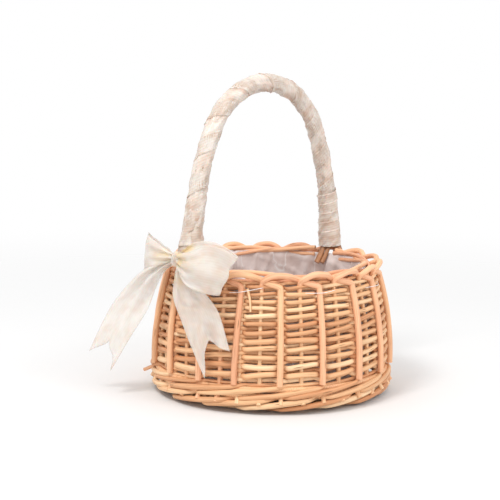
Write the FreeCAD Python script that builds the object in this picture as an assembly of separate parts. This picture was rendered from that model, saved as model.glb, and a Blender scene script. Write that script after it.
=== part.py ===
"""Round willow flower girl basket with a ribbon-wrapped hoop handle, a satin bow and a film liner.

Millimetres, +Z up. The origin is the middle of the footprint on the surface that the basket stands on.
The handle's hoop stands in a plane parallel to YZ, and the bow is tied at its foot on the -Y side.
Angles are in degrees round +Z, counted from +X.
"""
import FreeCAD, Part
import os
from math import acos, asin, atan, atan2, cos, degrees, radians, sin, sqrt, tan

# ---- driving sizes -------------------------------------------------------------------------------
upright_count = 18              # thick outer uprights; as many stakes stand behind them and between them
base_radius = 110.8             # to the outside of the foot wale, the widest place
belly_radius = 97.9             # stake centre line, half way up the woven wall
rim_radius = 95.3               # centre line of the border rods where they pass over the top
body_height = 119.6             # from the ground to the top of the border
handle_height = 281.8           # from the ground to the top of the wrapped handle
handle_span = 185.4             # between the centre lines of the handle's two legs
handle_offset = 11.0            # the hoop stands this far towards -X from the middle
handle_crown_radius = 74.0      # centre-line radius over the top of the hoop

foot_rod_d = 5.4                # rods of the foot wale
foot_rod_rows = 5
foot_round = 14.0               # rounding of the basket's lower edge
foot_wear = 0.5                 # how much of the rods that touch the ground is worn flat
packing_rod_d = 4.4             # rods hidden behind the foot wale
stake_d = 3.4                   # stakes that the weavers pass round
upright_d = 5.3                 # thick overlay rods on the outside of the wall
weaver_rows = 24
weaver_taper = 0.70             # top row's diameter over bottom row's
border_rod_d = 5.2
border_lean = 6.0               # the border's top leans out this far past the stakes
border_rise = 6.4               # from a border rod's ends up to its middle
border_span_steps = 1.5         # each border rod runs over this many upright spacings
hoop_rod_d = 4.0                # rods laid round the inside of the border, from leg to leg
hoop_inset_low = 4.5            # lower hoop, inwards from the stakes' tops
hoop_inset_high = 7.0           # upper hoop, inwards from the border's top
hoop_leg_room = 10.5            # the hoops stop this far short of the middle of each leg

base_stick_d = 5.0
base_stick_pitch = 8.0
base_sticks_each_way = 5
base_weaver_d = 2.6
base_weaver_pitch = 3.0
base_weaver_inner_radius = 6.0

handle_rod_d = 4.0              # seven willow rods make the hoop's bundle
wrap_thickness = 1.0            # satin ribbon round the bundle
foot_wrap_length = 30.0         # extra turns of ribbon over the foot of each leg
foot_wrap_thickness = 1.4
lap_depth = 15.0                # how far the bundle's rod ends reach below the border's top
lap_spread = 5.2                # room for the rods that part under the ribbon's last turns

liner_film = 1.0                # stand-in wall of the wrinkled film bag
stitch_d = 1.0

ribbon_width = 38.0             # satin ribbon of the bow
ribbon_body = 1.6               # stand-in thickness of one layer of ribbon
loop_length = 64.0
loop_rise = 14.0                # half the height of a pleated loop
loop_depth = 13.0               # how far a loop stands open, front to back
knot_size = 14.0
bow_turn = 4.8                  # the knot sits this far round from the leg, in degrees
tail_length_right = 100.0
tail_length_left = 119.0
tail_notch = 22.0               # depth of the swallow-tail cut
tail_gather = 14.0              # a tail is drawn in to this width at the knot

# ---- named clearances ----------------------------------------------------------------------------
rod_gap = 0.10                  # between rods that lie side by side
weave_gap = 0.20                # between a weaver and the stake that it passes
liner_gap = 0.60                # between the liner and the weave
wrap_gap = 0.05                 # between the ribbon and the bundle
ribbon_gap = 1.2                # between the bow's ribbon and the basket

# ---- sizes that follow ---------------------------------------------------------------------------
step = 360.0 / upright_count
foot_pitch = foot_rod_d + rod_gap
foot_z = [foot_rod_d / 2 - foot_wear + row * foot_pitch for row in range(foot_rod_rows)]
foot_top = foot_z[-1] + foot_rod_d / 2
nest_distance = (foot_rod_d + packing_rod_d) / 2 + rod_gap
packing_radius = base_radius - foot_rod_d / 2 - sqrt(nest_distance ** 2 - (foot_pitch / 2) ** 2)
stake_foot_radius = packing_radius - packing_rod_d / 2 - rod_gap - stake_d / 2
stake_top_radius = rim_radius - border_lean
border_top_z = body_height - border_rod_d / 2
border_foot_z = border_top_z - border_rise
stake_top_z = border_foot_z - border_rod_d / 2 - rod_gap
weave_height = stake_top_z - foot_top
belly_z = foot_top + weave_height / 2
row_share = [1 - (1 - weaver_taper) * row / (weaver_rows - 1) for row in range(weaver_rows)]
row_unit = weave_height / sum(row_share)

half_span = handle_span / 2
bundle_pitch = handle_rod_d + rod_gap
bundle_d = 2 * bundle_pitch + handle_rod_d
wrap_inner = bundle_d / 2 + wrap_gap
wrap_outer = wrap_inner + wrap_thickness
hoop_top = handle_height - wrap_outer
spring_z = border_top_z - 6.0
crown_rise = hoop_top - spring_z - handle_crown_radius
haunch_radius = (half_span ** 2 + crown_rise ** 2 - handle_crown_radius ** 2) / (
    2 * (half_span - handle_crown_radius))
splay_z = body_height + 20.0
wrap_foot_z = body_height + 1.4
foot_wrap_radius = bundle_d / 2 + lap_spread


def vec(x, y, z):
    return FreeCAD.Vector(x, y, z)


def polar(radius, angle, z):
    return vec(radius * cos(radians(angle)), radius * sin(radians(angle)), z)


def circle_through(p, q, s):
    """Centre (r, z) and radius of the circle through three points given as (r, z)."""
    a, b = q[0] - p[0], q[1] - p[1]
    c, d = s[0] - p[0], s[1] - p[1]
    e = (a * a + b * b) / 2
    f = (c * c + d * d) / 2
    det = a * d - b * c
    u, v = (e * d - b * f) / det, (a * f - e * c) / det
    return p[0] + u, p[1] + v, sqrt(u * u + v * v)


wall_r, wall_z, wall_bend = circle_through(
    (stake_foot_radius, foot_top), (belly_radius, belly_z), (stake_top_radius, stake_top_z))


def wall_radius(z):
    """Radius of the stakes' centre line at a height."""
    return wall_r + sqrt(wall_bend ** 2 - (z - wall_z) ** 2)


def weaver_d(z):
    """Diameter of the weaver row at a height: the rods get thinner towards the rim."""
    share = 1 - (1 - weaver_taper) * (z - foot_top) / weave_height
    return row_unit * share - rod_gap


def outer_weave(z):
    """Outermost radius of the weavers at a height."""
    return wall_radius(z) + stake_d / 2 + weave_gap + weaver_d(z)


def inner_weave(z):
    """Innermost radius of the weavers at a height."""
    return wall_radius(z) - stake_d / 2 - weave_gap - weaver_d(z)


def upright_radius(z):
    return outer_weave(z) + rod_gap + upright_d / 2


def upright_face(z):
    """Radius of the outermost surface of the wall at a height."""
    return upright_radius(z) + upright_d / 2


def arc(start, middle, end):
    return Part.Arc(start, middle, end).toShape()


def tangent_arc(start, direction, end):
    """The arc that leaves start along direction and reaches end."""
    chord = end - start
    length = chord.Length
    heading = FreeCAD.Vector(direction).normalize()
    along = FreeCAD.Vector(chord).normalize()
    turn = acos(max(-1.0, min(1.0, heading.dot(along))))
    half_way = (heading + along).normalize()
    return arc(start, start + half_way * (length / 2 / cos(turn / 2)), end)


def end_direction(edge):
    return edge.tangentAt(edge.LastParameter)


def rod(edges, diameter):
    """A round rod along edges that meet tangentially."""
    wire = Part.Wire(edges)
    first = edges[0]
    start = first.valueAt(first.FirstParameter)
    heading = first.tangentAt(first.FirstParameter)
    section = Part.Wire([Part.makeCircle(diameter / 2, start, heading)])
    return wire.makePipeShell([section], True, False)


def ring(radius, z, diameter):
    return Part.makeTorus(radius, diameter / 2, vec(0, 0, z))


def wave_ring(radius, z, diameter, crest, outward_first):
    """A closed rod of tangent arcs that passes outside one stake and inside the next."""
    half_wave = step / 2
    chord = 2 * radius * sin(radians(half_wave / 2))
    inset = radius * (1 - cos(radians(half_wave / 2)))
    out_rise = crest + inset
    slope = 2 * atan(2 * out_rise / chord) - radians(half_wave)
    in_rise = chord / 2 * tan(slope / 2)
    edges = []
    for index in range(2 * upright_count):
        middle_angle = index * half_wave
        outward = (index % 2 == 0) == outward_first
        middle_radius = radius - inset + out_rise if outward else radius - inset - in_rise
        edges.append(arc(
            polar(radius, middle_angle - half_wave / 2, z),
            polar(middle_radius, middle_angle, z),
            polar(radius, middle_angle + half_wave / 2, z)))
    return rod(edges, diameter)


def upright_path(radius_at, angle, low, high):
    middle = (low + high) / 2
    return arc(
        polar(radius_at(low), angle, low),
        polar(radius_at(middle), angle, middle),
        polar(radius_at(high), angle, high))


def group(solids):
    return Part.makeCompound(solids)


def save(name, shape):
    shape.exportStep("parts/%s.step" % name)


# ---- base ----------------------------------------------------------------------------------------
def base_stick(offset, z, along_x):
    reach = wall_radius(foot_top) - stake_d - 2 * rod_gap - 1.5
    half = sqrt(reach ** 2 - offset ** 2) - base_stick_d / 2
    if along_x:
        return Part.makeCylinder(base_stick_d / 2, 2 * half, vec(-half, offset, z), vec(1, 0, 0))
    return Part.makeCylinder(base_stick_d / 2, 2 * half, vec(offset, -half, z), vec(0, 1, 0))


def above_ground(shape):
    """The shape with what would reach under the ground worn away."""
    half = 2 * base_radius
    return shape.common(Part.makeBox(2 * half, 2 * half, half, vec(-half, -half, 0)))


def make_base():
    middle = (base_sticks_each_way - 1) / 2
    offsets = [(index - middle) * base_stick_pitch for index in range(base_sticks_each_way)]
    low_z = base_stick_d / 2 - foot_wear
    high_z = low_z + base_stick_d + rod_gap
    save("base_sticks_lower", group([above_ground(base_stick(y, low_z, True)) for y in offsets]))
    save("base_sticks_upper", group([base_stick(x, high_z, False) for x in offsets]))
    weave_z = high_z + base_stick_d / 2 + rod_gap + base_weaver_d / 2
    reach = inner_weave(foot_top) - base_weaver_d
    turns = int((reach - base_weaver_inner_radius) / base_weaver_pitch) + 1
    rings = [ring(base_weaver_inner_radius + turn * base_weaver_pitch, weave_z, base_weaver_d)
             for turn in range(turns)]
    save("base_weave", group(rings))
    return weave_z + base_weaver_d / 2


def make_foot():
    for row, z in enumerate(foot_z):
        low = foot_round - z
        inset = foot_round - sqrt(foot_round ** 2 - low ** 2) if low > 0 else 0.0
        rod_ring = ring(base_radius - foot_rod_d / 2 - inset, z, foot_rod_d)
        save("foot_wale_rod_%d" % (row + 1), above_ground(rod_ring) if row == 0 else rod_ring)
    packing_z = [(foot_z[row] + foot_z[row + 1]) / 2 for row in (2, 3)]
    save("foot_packing_rods", group([ring(packing_radius, z, packing_rod_d) for z in packing_z]))


# ---- wall ----------------------------------------------------------------------------------------
def make_wall():
    stake_foot_z = foot_z[1]
    angles = [index * step for index in range(upright_count)]
    for name, shift in (("hidden_stakes", 0.0), ("thin_stakes", step / 2)):
        stakes = [rod([upright_path(wall_radius, angle + shift, stake_foot_z, stake_top_z)], stake_d)
                  for angle in angles]
        save(name, group(stakes))
    low = foot_top + rod_gap
    uprights = [rod([upright_path(upright_radius, angle, low, stake_top_z)], upright_d)
                for angle in angles]
    save("outer_uprights", group(uprights))

    bottom = foot_top
    for row, share in enumerate(row_share):
        pitch = row_unit * share
        z = bottom + pitch / 2
        diameter = pitch - rod_gap
        crest = (stake_d + diameter) / 2 + weave_gap
        name = "weaver_row_%02d" % (row + 1)
        save(name, wave_ring(wall_radius(z), z, diameter, crest, row % 2 == 0))
        bottom += pitch


# ---- border --------------------------------------------------------------------------------------
def leg_angle():
    return 90 + degrees(asin(handle_offset / half_span))


def make_border():
    """Each rod rises from a thin stake, leans out over the top and ends outside an upright's top."""
    span = border_span_steps * step
    end_radius = upright_radius(stake_top_z) + 1.5
    rods = []
    for index in range(upright_count):
        angle = (index + 0.5) * step
        rods.append(rod([arc(
            polar(stake_top_radius, angle, border_foot_z),
            polar(rim_radius, angle + span / 2, border_top_z),
            polar(end_radius, angle + span, border_foot_z))], border_rod_d))
    save("border_rods", group(rods))
    hoops = []
    for radius, z in ((stake_top_radius - hoop_inset_low, border_foot_z + 2.7),
                      (rim_radius - hoop_inset_high, border_top_z + 0.4)):
        reach = leg_angle() - degrees(hoop_leg_room / radius)
        hoops.append(rod([arc(polar(radius, -reach, z), polar(radius, 0, z),
                              polar(radius, reach, z))], hoop_rod_d))
        reach = leg_angle() + degrees(hoop_leg_room / radius)
        hoops.append(rod([arc(polar(radius, reach, z), polar(radius, 180, z),
                              polar(radius, -reach, z))], hoop_rod_d))
    save("border_hoops", group(hoops))


# ---- handle --------------------------------------------------------------------------------------
def hoop_point(out, sideways, angle_from_top, side):
    """A point on the hoop's crown arc, offset outwards and sideways from the bundle's centre line."""
    radius = handle_crown_radius + out
    y = side * radius * sin(angle_from_top)
    return vec(sideways - handle_offset, y, spring_z + crown_rise + radius * cos(angle_from_top))


def haunch_point(out, sideways, z, side):
    radius = haunch_radius + out
    y = half_span - haunch_radius + sqrt(radius ** 2 - (z - spring_z) ** 2)
    return vec(sideways - handle_offset, side * y, z)


def hoop_edges(out, sideways, foot_z):
    """Haunch, crown and haunch, from the -Y foot over to the +Y foot."""
    lean = atan2(haunch_radius - half_span, crown_rise)
    joint_out = handle_crown_radius + out
    joint_z = spring_z + crown_rise + joint_out * cos(lean)
    middle_z = (foot_z + joint_z) / 2
    near = hoop_point(out, sideways, lean, -1)
    far = hoop_point(out, sideways, lean, 1)
    return [
        arc(haunch_point(out, sideways, foot_z, -1), haunch_point(out, sideways, middle_z, -1), near),
        arc(near, hoop_point(out, sideways, 0, 1), far),
        arc(far, haunch_point(out, sideways, middle_z, 1), haunch_point(out, sideways, foot_z, 1))]


def lap_edges(out, sideways, side, knee, toe):
    """The end of one rod of the bundle, which leaves the wrap and laps over the border."""
    start = haunch_point(out, sideways, splay_z, side)
    above = haunch_point(out, sideways, splay_z + 1, side)
    first = tangent_arc(start, start - above, vec(start.x, side * knee, body_height - 2.2))
    knee_point = first.valueAt(first.LastParameter)
    toe_point = vec(start.x, side * toe, body_height - lap_depth)
    second = tangent_arc(knee_point, end_direction(first), toe_point)
    return [first, second]


def bundle_rod(out, sideways, knee, toe):
    """One rod of the bundle from toe to toe; knee and toe are where it laps over the border."""
    fan = 1.2 * out
    far = lap_edges(out, sideways, 1, knee + fan, toe + fan)
    near = lap_edges(out, sideways, -1, knee + fan, toe + fan)
    hoop = hoop_edges(out, sideways, splay_z)
    back = [arc(edge.valueAt(edge.LastParameter),
                edge.valueAt((edge.FirstParameter + edge.LastParameter) / 2),
                edge.valueAt(edge.FirstParameter)) for edge in reversed(near)]
    return rod(back + hoop + far, handle_rod_d)


def make_handle():
    save("handle_core_rod", rod(hoop_edges(0, 0, body_height + rod_gap), handle_rod_d))
    inner_knee = stake_top_radius - stake_d / 2 - rod_gap - 0.4
    inner_toe = inner_knee - 8.6
    outer_knee = rim_radius + border_rod_d / 2 + 0.7
    outer_toe = outer_knee + 3.2
    inner, outer = [], []
    for index in range(6):
        turn = radians(60 * index)
        out, sideways = bundle_pitch * cos(turn), bundle_pitch * sin(turn)
        if out > 0:
            outer.append(bundle_rod(out, sideways, outer_knee, outer_toe))
        else:
            inner.append(bundle_rod(out, sideways, inner_knee, inner_toe))
    save("handle_inner_rods", group(inner))
    save("handle_outer_rods", group(outer))

    path = hoop_edges(0, 0, wrap_foot_z + foot_wrap_length - 6)
    save("handle_ribbon", rod(path, 2 * wrap_outer).cut(rod(path, 2 * wrap_inner)))
    for name, side in (("foot_wrap_near", -1), ("foot_wrap_far", 1)):
        save(name, foot_wrap(side))


def foot_wrap(side):
    """The ribbon's last turns, a sleeve that widens over the splayed rods down to the border."""
    low = haunch_point(0, 0, wrap_foot_z, side)
    high = haunch_point(0, 0, wrap_foot_z + foot_wrap_length, side)
    axis = high - low
    top_inner = wrap_outer + 0.5
    length = axis.Length
    points = [vec(foot_wrap_radius, 0, 0), vec(foot_wrap_radius + foot_wrap_thickness, 0, 0),
              vec(top_inner + foot_wrap_thickness, 0, length), vec(top_inner, 0, length)]
    face = Part.Face(Part.makePolygon(points + [points[0]]))
    sleeve = face.revolve(vec(0, 0, 0), vec(0, 0, 1), 360)
    sleeve.Placement = FreeCAD.Placement(low, FreeCAD.Rotation(vec(0, 0, 1), axis))
    return sleeve


# ---- liner ---------------------------------------------------------------------------------------
def make_liner(floor_z):
    """The film bag: a side and a round floor, welded together along the floor's edge."""
    low = foot_top + liner_gap
    high = stake_top_z + 1.5
    bottom = floor_z + liner_gap
    corner = 8.0

    def wall_arc(inset):
        points = []
        for z in (low, (low + high) / 2, high):
            points.append(vec(inner_weave(z) - liner_gap - inset, 0, z))
        return points

    outside = wall_arc(0)
    inside = wall_arc(liner_film)
    floor_radius = outside[0].x - corner
    out_seam = vec(floor_radius, 0, bottom)
    in_seam = vec(floor_radius, 0, bottom + liner_film)
    edges = [
        Part.LineSegment(out_seam, outside[0]).toShape(),
        arc(*outside),
        Part.LineSegment(outside[2], inside[2]).toShape(),
        arc(inside[2], inside[1], inside[0]),
        Part.LineSegment(inside[0], in_seam).toShape(),
        Part.LineSegment(in_seam, out_seam).toShape()]
    save("liner_side", Part.Face(Part.Wire(edges)).revolve(vec(0, 0, 0), vec(0, 0, 1), 360))
    save("liner_floor", Part.makeCylinder(floor_radius, liner_film, vec(0, 0, bottom)))

    stitches = []
    stitch_z = stake_top_z - 6
    for index in range(0, upright_count, 3):
        angle = index * step - 2 * step
        clear = upright_face(stitch_z) + stitch_d
        low_point = polar(outer_weave(stitch_z) + 1.5 * stitch_d, angle - step / 3, stitch_z - 3)
        high_point = polar(outer_weave(stitch_z) + 1.5 * stitch_d, angle + step / 3, stitch_z + 3)
        stitches.append(rod([arc(low_point, polar(clear, angle, stitch_z), high_point)], stitch_d))
    save("liner_stitches", group(stitches))


# ---- small loose ends ----------------------------------------------------------------------------
def make_loose_ends():
    twig_d = 1.8
    twig_angle = -2.7 * step
    lean = 4.0
    top, bottom = stake_top_z - 1, stake_top_z - 24
    seat = outer_weave(bottom) + twig_d
    twig = rod([Part.LineSegment(
        polar(seat, twig_angle, top), polar(seat, twig_angle + lean, bottom)).toShape()], twig_d)
    save("loose_twig", twig)
    end_angle = -6.55 * step
    end_z = foot_top + upright_d
    seat = upright_face(end_z) - upright_d + 1.5
    stub = rod([Part.LineSegment(
        polar(seat, end_angle, end_z), polar(seat + 13, end_angle - 4, end_z - 5)).toShape()], stake_d)
    save("cut_rod_end", stub)


# ---- bow -----------------------------------------------------------------------------------------
bow_angle = bow_turn - leg_angle()
bow_radius = half_span + foot_wrap_radius + foot_wrap_thickness + ribbon_gap + knot_size / 2
bow_z = body_height + 8.5


def plate(origin, facing, outline, thickness):
    """A flat plate through origin that faces outwards; outline is (sideways, upwards) from origin."""
    n = polar(1, facing, 0)
    t = polar(1, facing + 90, 0)
    points = [origin - n * (thickness / 2) + t * side + vec(0, 0, up) for side, up in outline]
    return Part.Face(Part.makePolygon(points + [points[0]])).extrude(n * thickness)


def swallow_tail(root, along, across, length):
    """Outline of a ribbon's tail, narrow at the knot, with its end cut to a V."""
    half = ribbon_width / 2
    narrow = tail_gather / 2
    toe = root + along * length
    return [root - across * narrow, root + across * narrow, toe + across * half,
            toe - along * tail_notch, toe - across * half]


def make_bow():
    knot_half = knot_size / 2
    knot_centre = polar(bow_radius, bow_angle, bow_z)
    save("bow_knot", Part.makeSphere(knot_half, knot_centre))

    start = knot_half + rod_gap
    for name, side, turn, droop in (("bow_loop_left", -1, 14, 4.0), ("bow_loop_right", 1, 17, 10.0)):
        outline = [(side * start, -6), (side * (start + loop_length * 0.55), -droop - loop_rise),
                   (side * (start + loop_length), 4 - droop),
                   (side * (start + loop_length * 0.55), loop_rise), (side * start, 7)]
        facing = bow_angle + side * turn
        forward = polar(loop_depth / 2 + ribbon_body + ribbon_gap, facing, 0)
        save(name, plate(knot_centre + forward, facing, outline, loop_depth))

    under = knot_centre - vec(0, 0, knot_half + 2)
    apart = tail_gather / 2 + ribbon_body
    lean = radians(30)
    facing = bow_angle + 8
    root = under + polar(apart / 2, bow_angle + 90, 0) - polar(ribbon_gap, facing, 0)
    across = polar(cos(lean), facing + 90, sin(lean))
    along = polar(sin(lean), facing + 90, -cos(lean))
    corners = swallow_tail(root, along, across, tail_length_right)
    face = Part.Face(Part.makePolygon(corners + [corners[0]]))
    save("bow_tail_right", face.extrude(polar(ribbon_body, facing, 0)))

    along = (polar(1, bow_angle - 73, 0) - vec(0, 0, 1.04)).normalize()
    across = along.cross(polar(1, bow_angle + 32, -0.25)).normalize()
    root = under - polar(apart, bow_angle + 90, 5.5)
    corners = swallow_tail(root, along, across, tail_length_left)
    face = Part.Face(Part.makePolygon(corners + [corners[0]]))
    save("bow_tail_left", face.extrude(along.cross(across) * ribbon_body))


os.makedirs("parts", exist_ok=True)
base_floor_z = make_base()
make_foot()
make_wall()
make_border()
make_handle()
make_liner(base_floor_z)
make_loose_ends()
make_bow()
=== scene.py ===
"""Looks of a willow flower girl basket: woven rods, satin-bound hoop, bow and film liner."""
from math import asin, atan2, cos, degrees, hypot, pi, radians, sin, sqrt
from random import Random

import bmesh
import bpy
import numpy as np
from bpy.props import FloatProperty, FloatVectorProperty, IntProperty, PointerProperty
from mathutils import Matrix, Vector, noise


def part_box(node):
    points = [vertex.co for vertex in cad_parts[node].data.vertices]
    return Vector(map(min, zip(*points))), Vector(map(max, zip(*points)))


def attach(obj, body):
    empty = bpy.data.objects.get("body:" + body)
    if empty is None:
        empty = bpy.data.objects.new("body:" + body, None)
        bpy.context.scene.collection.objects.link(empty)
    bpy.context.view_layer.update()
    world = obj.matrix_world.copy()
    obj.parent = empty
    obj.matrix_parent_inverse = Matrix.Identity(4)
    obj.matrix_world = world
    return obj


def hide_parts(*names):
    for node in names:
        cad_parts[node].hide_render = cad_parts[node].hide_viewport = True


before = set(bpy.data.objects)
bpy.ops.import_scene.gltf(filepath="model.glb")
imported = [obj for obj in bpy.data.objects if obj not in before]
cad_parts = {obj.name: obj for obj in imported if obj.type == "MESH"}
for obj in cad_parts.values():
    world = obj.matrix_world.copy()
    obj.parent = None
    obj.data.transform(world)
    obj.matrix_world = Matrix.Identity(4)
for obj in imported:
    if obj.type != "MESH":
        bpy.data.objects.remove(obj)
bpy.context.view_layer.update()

bl_info = {
    "name": "Flower girl basket",
    "version": (1, 0, 0),
    "blender": (4, 5, 0),
    "location": "3D View > Sidebar > Basket",
    "description": "Weaves a willow basket with a satin-bound hoop handle, a bow and a film liner",
    "category": "Add Mesh",
}

MM = 0.001
UPRIGHTS = 18
STEP = 360 / UPRIGHTS
STAKE_GAP = 0.2 * MM       # between a weaver and the stake it passes
LEG_ANGLE = 97.0           # where the handle's legs pass the border, either side of +X
TURN = -2.0                # the woven grid stands this many degrees further round than the frame's
SATIN_BODY = 0.35 * MM     # thickness of the bow's ribbon
KNOT_COLOUR = "8a5a33"
# Colour of the painted glow of light shining through the bow's satin near the knot.
PAINTED_GLOW_COLOUR = "f7d98c"


# ---- places read from the frame ------------------------------------------------------------------
def woven_rows():
    """Height, thickness and outermost radius of each woven row, from the lowest up."""
    rows = []
    for name in sorted(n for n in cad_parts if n.startswith("weaver_row_")):
        low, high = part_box(name)
        rows.append(((low.z + high.z) / 2, high.z - low.z, max(high.x, high.y)))
    return rows


ROWS = woven_rows()
ROW_Z = [row[0] for row in ROWS]
ROW_D = [row[1] for row in ROWS]
ROW_OUT = [row[2] for row in ROWS]
FOOT_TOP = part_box("foot_wale_rod_5")[1].z
FOOT_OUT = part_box("foot_wale_rod_4")[1].x
FOOT_ROD_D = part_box("foot_wale_rod_4")[1].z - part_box("foot_wale_rod_4")[0].z
STAKE_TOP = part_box("thin_stakes")[1].z
BORDER_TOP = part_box("border_rods")[1].z
WRAP_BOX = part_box("handle_ribbon")
HOOP_X = (WRAP_BOX[0].x + WRAP_BOX[1].x) / 2
WRAP_OUT = (WRAP_BOX[1].x - WRAP_BOX[0].x) / 2
HOOP_TOP = WRAP_BOX[1].z - WRAP_OUT
HALF_SPAN = (WRAP_BOX[1].y - WRAP_BOX[0].y) / 2 - WRAP_OUT


def weave_face(z):
    """Outermost radius of the woven rows at a height."""
    return float(np.interp(z, ROW_Z, ROW_OUT))


def weave_swing(thick, stake_d):
    """How far a weaver's centre line moves out and in; the pressed weave bends less than round rods would."""
    return 0.62 * ((stake_d + thick) / 2 + STAKE_GAP)


def stake_line(z, stake_d):
    """Radius of the stakes' centre line at a height."""
    thick = float(np.interp(z, ROW_Z, ROW_D))
    return weave_face(z) - thick / 2 - weave_swing(thick, stake_d)


def polar(radius, angle, z):
    return Vector((radius * cos(radians(angle)), radius * sin(radians(angle)), z))


def smooth_step(x):
    x = min(1.0, max(0.0, x))
    return x * x * (3 - 2 * x)


def curve_through(points, per_span):
    """Catmull-Rom points through control tuples, per_span to each span."""
    pts = [np.array(p, float) for p in points]
    pts = [2 * pts[0] - pts[1]] + pts + [2 * pts[-1] - pts[-2]]
    out = []
    for i in range(1, len(pts) - 2):
        a, b, c, d = pts[i - 1:i + 3]
        for k in range(per_span):
            t = k / per_span
            out.append(0.5 * (2 * b + (c - a) * t + (2 * a - 5 * b + 4 * c - d) * t * t
                              + (3 * b - a - 3 * c + d) * t ** 3))
    out.append(pts[-2])
    return out


# ---- node building -------------------------------------------------------------------------------
def add_node(tree, kind, inputs=None, **settings):
    """Adds a node, sets its properties, then fills or links its inputs by name or index."""
    node = tree.nodes.new(kind)
    for key, value in settings.items():
        setattr(node, key, value)
    for key, value in (inputs or {}).items():
        if isinstance(value, bpy.types.NodeSocket):
            tree.links.new(value, node.inputs[key])
        else:
            node.inputs[key].default_value = value
    return node


def math_node(tree, operation, a, b=0.0, clamp=False):
    return add_node(tree, "ShaderNodeMath", {0: a, 1: b}, operation=operation, use_clamp=clamp).outputs[0]


def vector_node(tree, operation, a, b=(0.0, 0.0, 0.0)):
    return add_node(tree, "ShaderNodeVectorMath", {0: a, 1: b}, operation=operation).outputs[0]


def noise_node(tree, place, scale=1.0, detail=2.0, roughness=0.5):
    return add_node(tree, "ShaderNodeTexNoise", {
        "Vector": place, "Scale": scale, "Detail": detail, "Roughness": roughness}).outputs["Fac"]


def spread_out(tree, value, inputs, **settings):
    """Maps a value to another range; the inputs are the node's, by number."""
    return add_node(tree, "ShaderNodeMapRange", {0: value, **inputs}, **settings).outputs[0]


def colour_mix(tree, share, under, over, blend="MIX"):
    return add_node(tree, "ShaderNodeMix", {0: share, 6: under, 7: over},
                    data_type="RGBA", blend_type=blend).outputs[2]


def object_place(tree):
    return add_node(tree, "ShaderNodeTexCoord").outputs["Object"]


def add_bump(tree, shader, height, strength, distance):
    bump = add_node(tree, "ShaderNodeBump", {"Strength": strength, "Distance": distance, "Height": height})
    tree.links.new(bump.outputs[0], shader.inputs["Normal"])


def linear(hex_colour):
    """Scene-linear colour of a six-digit screen colour."""
    channels = [int(hex_colour[i:i + 2], 16) / 255 for i in (0, 2, 4)]
    return tuple(c / 12.92 if c <= 0.04045 else ((c + 0.055) / 1.055) ** 2.4 for c in channels)


def start_material(name):
    material = bpy.data.materials.new(name)
    material.use_nodes = True
    tree = material.node_tree
    tree.nodes.clear()
    shader = add_node(tree, "ShaderNodeBsdfPrincipled")
    add_node(tree, "ShaderNodeOutputMaterial", {"Surface": shader.outputs[0]})
    return material, tree, shader


def ramp(tree, fac, stops):
    node = add_node(tree, "ShaderNodeValToRGB", {0: fac})
    elements = node.color_ramp.elements
    while len(elements) < len(stops):
        elements.new(0.5)
    for element, (place, colour) in zip(elements, stops):
        element.position = place
        element.color = (*colour, 1.0)
    return node.outputs[0]


def willow(name, pale, middle, deep, on_rods=True, knots=0.10):
    """Peeled willow: lengthwise grain, slow changes of colour, small dark knots and a dull polish."""
    material, tree, shader = start_material(name)
    if on_rods:
        tone = add_node(tree, "ShaderNodeAttribute", attribute_name="tone").outputs["Fac"]
        along = add_node(tree, "ShaderNodeAttribute", attribute_name="along").outputs["Fac"]
        around = add_node(tree, "ShaderNodeAttribute", attribute_name="around").outputs["Vector"]
        shift = math_node(tree, "MULTIPLY", tone, 37.0)
        length = math_node(tree, "ADD", along, shift)
        axis = add_node(tree, "ShaderNodeCombineXYZ", {2: length}).outputs[0]
        grain_at, slow_at, knot_at = (
            vector_node(tree, "ADD", vector_node(tree, "MULTIPLY", around, (across, across, 0.0)),
                        vector_node(tree, "MULTIPLY", axis, (0.0, 0.0, lengthwise)))
            for across, lengthwise in ((3.2, 38.0), (0.5, 24.0), (0.8, 30.0)))
    else:
        place = object_place(tree)
        tone = noise_node(tree, place, 40.0)
        grain_at = vector_node(tree, "MULTIPLY", place, (900.0, 900.0, 260.0))
        slow_at = vector_node(tree, "MULTIPLY", place, (45.0, 45.0, 45.0))
        knot_at = vector_node(tree, "MULTIPLY", place, (60.0, 60.0, 60.0))
    grain = noise_node(tree, grain_at, detail=5.0, roughness=0.62)
    slow = noise_node(tree, slow_at)
    mixed = math_node(tree, "ADD", math_node(tree, "MULTIPLY", tone, 0.72),
                      math_node(tree, "MULTIPLY", slow, 0.50))
    colour = ramp(tree, mixed, [(0.18, pale), (0.55, middle), (0.95, deep)])
    streak = ramp(tree, grain, [(0.30, (0.66, 0.55, 0.45)), (0.47, (0.98, 0.97, 0.96)),
                                (0.70, (1.12, 1.10, 1.06))])
    streaked = colour_mix(tree, 1.0, colour, streak, "MULTIPLY")
    spot = add_node(tree, "ShaderNodeTexVoronoi", {"Vector": knot_at, "Scale": 1.0, "Randomness": 1.0})
    knot = ramp(tree, spot.outputs["Distance"], [(0.0, (1.0, 1.0, 1.0)), (knots, (0.8, 0.8, 0.8)),
                                                 (knots * 1.7, (0.0, 0.0, 0.0))])
    marked = colour_mix(tree, knot, streaked, (*linear(KNOT_COLOUR), 1.0))
    tree.links.new(marked, shader.inputs["Base Color"])
    tree.links.new(spread_out(tree, grain, {3: 0.62, 4: 0.40}), shader.inputs["Roughness"])
    shader.inputs["Specular IOR Level"].default_value = 0.45
    height = math_node(tree, "SUBTRACT", grain, math_node(tree, "MULTIPLY", knot, 0.5))
    add_bump(tree, shader, height, 0.45, 0.0004)
    return material


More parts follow.
